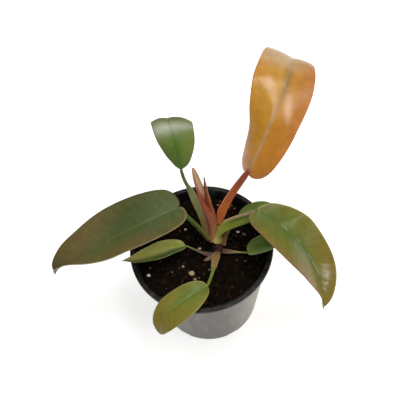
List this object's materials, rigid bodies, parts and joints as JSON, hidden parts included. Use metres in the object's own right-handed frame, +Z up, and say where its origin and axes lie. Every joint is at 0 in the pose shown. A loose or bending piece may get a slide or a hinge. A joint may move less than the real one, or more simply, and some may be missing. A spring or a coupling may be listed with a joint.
{
  "type": "potted philodendron house plant",
  "caption": "Young philodendron with long, folded green and orange leaves on upright sheathed stalks, rooted in potting mix in a round black nursery pot that stands on a table.",
  "frame": {"origin": "middle of the pot's flat underside, on the table", "axes": "+Z up the pot's axis, -Y the front that faces the viewer, +X the viewer's right"},
  "size_m": [0.2295, 0.1941, 0.2126],
  "materials": {
    "pot_plastic": "satin",
    "potting_mix": "matte",
    "stem_skin": "matte",
    "leaf_right": "satin",
    "stalk_right": "satin",
    "leaf_upper": "satin",
    "stalk_upper": "satin",
    "leaf_left": "satin",
    "stalk_left": "satin",
    "leaf_orange": "satin",
    "stalk_orange": "satin",
    "leaf_back": "satin",
    "stalk_back": "satin",
    "leaf_lower_right": "satin",
    "stalk_lower_right": "satin",
    "leaf_lower_left": "satin",
    "stalk_lower_left": "satin",
    "leaf_front": "satin",
    "stalk_front": "satin",
    "sheath_skin": "satin",
    "new_leaf_skin": "satin",
    "scale_skin": "matte"
  },
  "bodies": {
    "root": {"pot": "pot_plastic", "soil": "potting_mix", "stem": "stem_skin", "blade_right": "leaf_right", "petiole_right": "stalk_right", "blade_upper": "leaf_upper", "petiole_upper": "stalk_upper", "blade_left": "leaf_left", "petiole_left": "stalk_left", "blade_orange": "leaf_orange", "petiole_orange": "stalk_orange", "blade_back": "leaf_back", "petiole_back": "stalk_back", "blade_lower_right": "leaf_lower_right", "petiole_lower_right": "stalk_lower_right", "blade_lower_left": "leaf_lower_left", "petiole_lower_left": "stalk_lower_left", "blade_front": "leaf_front", "petiole_front": "stalk_front", "sheath": "sheath_skin", "new_leaf": "new_leaf_skin", "scale": "scale_skin"}
  },
  "joints": []
}
